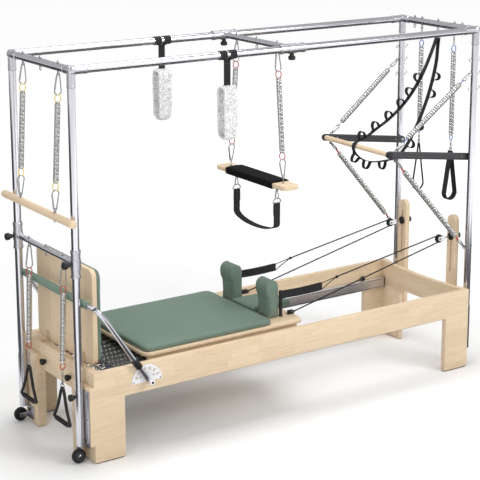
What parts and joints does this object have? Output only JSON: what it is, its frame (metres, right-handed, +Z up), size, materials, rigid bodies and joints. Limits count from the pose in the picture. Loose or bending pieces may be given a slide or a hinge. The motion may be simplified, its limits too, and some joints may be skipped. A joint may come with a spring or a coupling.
{
  "type": "pilates trapeze table",
  "caption": "Wooden sprung-carriage reformer bed under a tube frame with hanging springs, bars, loops and a padded trapeze.",
  "frame": {"origin": "on the floor under the middle of the whole object", "axes": "+X from the footbar end to the pulley end, +Z up, the pictured near side at negative Y"},
  "size_m": [2.6032, 0.86, 1.944],
  "materials": {
    "wood": "clear lacquer on finger-jointed maple blocks",
    "dowel_wood": "clear lacquer",
    "polished_tube": "polished",
    "sprung_steel": "bright nickel plate",
    "vinyl": "fine-grained sage upholstery vinyl",
    "black_plastic": "moulded",
    "webbing": "woven",
    "padded_seat": "black cover over a wooden plank",
    "rope": "braided",
    "white_plate": "satin white",
    "fleece": "long pile",
    "caster_rubber": "moulded"
  },
  "bodies": {
    "frame": {"near_side_frame": "wood", "far_side_frame": "wood", "foot_end_panel": "wood", "head_end_panel": "wood", "near_track": "polished_tube", "far_track": "polished_tube", "foot_post_near": "polished_tube", "foot_post_far": "polished_tube", "head_post_near": "polished_tube", "head_post_far": "polished_tube", "top_rail_near": "polished_tube", "top_rail_far": "polished_tube", "foot_top_crossbar": "polished_tube", "head_top_crossbar": "polished_tube", "footbar_plate_near": "white_plate", "footbar_plate_far": "white_plate", "pulley_block_near": "black_plastic", "pulley_block_far": "black_plastic", "carriage_springs": "sprung_steel", "ladder_strap": "webbing", "push_spring_top_near": "sprung_steel", "push_spring_top_far": "sprung_steel", "push_spring_low_near": "sprung_steel", "push_spring_low_far": "sprung_steel"},
    "carriage": {"carriage_board": "wood", "carriage_pad": "vinyl", "rope_near": "rope", "rope_far": "rope"},
    "headrest": {"headrest": "vinyl"},
    "foot_wheels": {"wheelset_foot": "black_plastic"},
    "head_wheels": {"wheelset_head": "black_plastic"},
    "footbar": {"footbar": "polished_tube"},
    "jump_board": {"jump_board": "wood", "jump_board_pad": "vinyl"},
    "adjustable_crossbar": {"adjustable_crossbar": "polished_tube"},
    "rolldown_springs": {"rolldown_spring_near": "sprung_steel", "rolldown_spring_far": "sprung_steel"},
    "rolldown_bar": {"rolldown_bar": "dowel_wood"},
    "trapeze_crossbar": {"trapeze_crossbar": "polished_tube"},
    "trapeze_springs": {"trapeze_spring_near": "sprung_steel", "trapeze_spring_far": "sprung_steel"},
    "trapeze_seat": {"trapeze_seat": "padded_seat"},
    "trapeze_sling": {"trapeze_sling": "webbing"},
    "push_through_bar": {"push_through_bar": "polished_tube"},
    "shoulder_rest_near": {"shoulder_rest_near": "vinyl"},
    "shoulder_rest_far": {"shoulder_rest_far": "vinyl"},
    "handle_spring_near": {"handle_spring_near": "sprung_steel"},
    "handle_near": {"handle_near": "black_plastic"},
    "handle_spring_far": {"handle_spring_far": "sprung_steel"},
    "handle_far": {"handle_far": "black_plastic"},
    "leg_spring_near": {"leg_spring_near": "sprung_steel"},
    "foot_strap_near": {"foot_strap_near": "webbing"},
    "fleece_loop_near": {"fleece_loop_near": "fleece"},
    "pulley_wheel_near": {"pulley_wheel_near": "black_plastic"},
    "caster_wheel_near": {"caster_wheel_near": "caster_rubber"},
    "leg_spring_far": {"leg_spring_far": "sprung_steel"},
    "foot_strap_far": {"foot_strap_far": "webbing"},
    "fleece_loop_far": {"fleece_loop_far": "fleece"},
    "pulley_wheel_far": {"pulley_wheel_far": "black_plastic"},
    "caster_wheel_far": {"caster_wheel_far": "caster_rubber"}
  },
  "joints": [
    {"name": "carriage_slide", "type": "slide", "parent": "frame", "child": "carriage", "axis": [1, 0, 0], "range_m": [0, 0.7], "stiffness_N_per_m": 100, "springref_m": -0.1, "deforming": ["carriage_springs", "rope_near", "rope_far"]},
    {"name": "foot_wheels_spin", "type": "hinge", "parent": "carriage", "child": "foot_wheels", "pos_m": [-0.78757, 0, 0.3843], "axis": [0, 1, 0], "range_deg": [0, 1830]},
    {"name": "head_wheels_spin", "type": "hinge", "parent": "carriage", "child": "head_wheels", "pos_m": [0.02243, 0, 0.3843], "axis": [0, 1, 0], "range_deg": [0, 1830]},
    {"name": "headrest_tilt", "type": "hinge", "parent": "carriage", "child": "headrest", "pos_m": [-0.08257, 0, 0.503], "axis": [0, -1, 0], "range_deg": [0, 35]},
    {"name": "shoulder_rest_lift_near", "type": "slide", "parent": "carriage", "child": "shoulder_rest_near", "axis": [0, 0, 1], "range_m": [0, 0.08]},
    {"name": "shoulder_rest_lift_far", "type": "slide", "parent": "carriage", "child": "shoulder_rest_far", "axis": [0, 0, 1], "range_m": [0, 0.08]},
    {"name": "footbar_pivot", "type": "hinge", "parent": "frame", "child": "footbar", "pos_m": [-0.89257, 0, 0.372], "axis": [0, 1, 0], "range_deg": [-0.5, 3]},
    {"name": "jump_board_lift", "type": "slide", "parent": "frame", "child": "jump_board", "axis": [0, 0, 1], "range_m": [0, 0.3]},
    {"name": "adjustable_crossbar_slide", "type": "slide", "parent": "frame", "child": "adjustable_crossbar", "axis": [0, 0, 1], "range_m": [-0.12, 0.12]},
    {"name": "handle_swing_near", "type": "hinge", "parent": "adjustable_crossbar", "child": "handle_spring_near", "pos_m": [-1.23357, -0.183, 0.969], "axis": [0, 1, 0], "range_deg": [0, 45]},
    {"name": "handle_stretch_near", "type": "slide", "parent": "handle_spring_near", "child": "handle_near", "axis": [-0.038, 0, -0.9993], "range_m": [0, 0.12], "stiffness_N_per_m": 300, "springref_m": -0.05, "deforming": ["handle_spring_near"]},
    {"name": "handle_swing_far", "type": "hinge", "parent": "adjustable_crossbar", "child": "handle_spring_far", "pos_m": [-1.23357, 0.183, 0.969], "axis": [0, 1, 0], "range_deg": [0, 45]},
    {"name": "handle_stretch_far", "type": "slide", "parent": "handle_spring_far", "child": "handle_far", "axis": [-0.038, 0, -0.9993], "range_m": [0, 0.12], "stiffness_N_per_m": 300, "springref_m": -0.05, "deforming": ["handle_spring_far"]},
    {"name": "rolldown_swing", "type": "hinge", "parent": "frame", "child": "rolldown_springs", "pos_m": [-1.23357, 0, 1.881], "axis": [0, 1, 0], "range_deg": [0, 45]},
    {"name": "rolldown_stretch", "type": "slide", "parent": "rolldown_springs", "child": "rolldown_bar", "axis": [-0.0569, 0, -0.9984], "range_m": [0, 0.15], "stiffness_N_per_m": 400, "springref_m": -0.05, "deforming": ["rolldown_spring_near", "rolldown_spring_far"]},
    {"name": "trapeze_crossbar_slide", "type": "slide", "parent": "frame", "child": "trapeze_crossbar", "axis": [1, 0, 0], "range_m": [-0.2, 0.25]},
    {"name": "trapeze_swing", "type": "hinge", "parent": "trapeze_crossbar", "child": "trapeze_springs", "pos_m": [0.01243, 0, 1.884], "axis": [0, 1, 0], "range_deg": [-20, 20]},
    {"name": "trapeze_stretch", "type": "slide", "parent": "trapeze_springs", "child": "trapeze_seat", "axis": [0, 0, -1], "range_m": [0, 0.12], "stiffness_N_per_m": 600, "springref_m": -0.08, "deforming": ["trapeze_spring_near", "trapeze_spring_far"]},
    {"name": "sling_swing", "type": "hinge", "parent": "trapeze_seat", "child": "trapeze_sling", "pos_m": [0.01243, 0, 1.162], "axis": [0, 1, 0], "range_deg": [-25, 25]},
    {"name": "push_through_pivot", "type": "hinge", "parent": "frame", "child": "push_through_bar", "pos_m": [1.25843, 0, 1.207], "axis": [0, 1, 0], "range_deg": [-40, 25], "stiffness_Nm_per_rad": 60, "springref_deg": 7.45, "deforming": ["push_spring_top_near", "push_spring_top_far", "push_spring_low_near", "push_spring_low_far", "ladder_strap"]},
    {"name": "leg_spring_swing_near", "type": "hinge", "parent": "frame", "child": "leg_spring_near", "pos_m": [1.25843, -0.137, 1.881], "axis": [0, 1, 0], "range_deg": [-20, 25]},
    {"name": "leg_spring_stretch_near", "type": "slide", "parent": "leg_spring_near", "child": "foot_strap_near", "axis": [0, 0, -1], "range_m": [0, 0.12], "stiffness_N_per_m": 250, "springref_m": -0.04, "deforming": ["leg_spring_near"]},
    {"name": "fleece_loop_swing_near", "type": "hinge", "parent": "frame", "child": "fleece_loop_near", "pos_m": [-0.37757, -0.31, 1.921], "axis": [1, 0, 0], "range_deg": [-30, 30]},
    {"name": "pulley_spin_near", "type": "hinge", "parent": "frame", "child": "pulley_wheel_near", "pos_m": [1.12043, -0.215, 0.735], "axis": [0, 1, 0], "continuous": true},
    {"name": "caster_spin_near", "type": "hinge", "parent": "frame", "child": "caster_wheel_near", "pos_m": [-1.24957, -0.32, 0.04], "axis": [0, 1, 0], "continuous": true},
    {"name": "leg_spring_swing_far", "type": "hinge", "parent": "frame", "child": "leg_spring_far", "pos_m": [1.25843, 0.137, 1.881], "axis": [0, 1, 0], "range_deg": [-20, 25]},
    {"name": "leg_spring_stretch_far", "type": "slide", "parent": "leg_spring_far", "child": "foot_strap_far", "axis": [0, 0, -1], "range_m": [0, 0.12], "stiffness_N_per_m": 250, "springref_m": -0.04, "deforming": ["leg_spring_far"]},
    {"name": "fleece_loop_swing_far", "type": "hinge", "parent": "frame", "child": "fleece_loop_far", "pos_m": [-0.37757, 0.31, 1.921], "axis": [1, 0, 0], "range_deg": [-30, 30]},
    {"name": "pulley_spin_far", "type": "hinge", "parent": "frame", "child": "pulley_wheel_far", "pos_m": [1.12043, 0.215, 0.735], "axis": [0, 1, 0], "continuous": true},
    {"name": "caster_spin_far", "type": "hinge", "parent": "frame", "child": "caster_wheel_far", "pos_m": [-1.24957, 0.32, 0.04], "axis": [0, 1, 0], "continuous": true}
  ],
  "couplings": [
    {"joint": "foot_wheels_spin", "follows": "carriage_slide", "rad_per_m": 45.455},
    {"joint": "head_wheels_spin", "follows": "carriage_slide", "rad_per_m": 45.455}
  ]
}
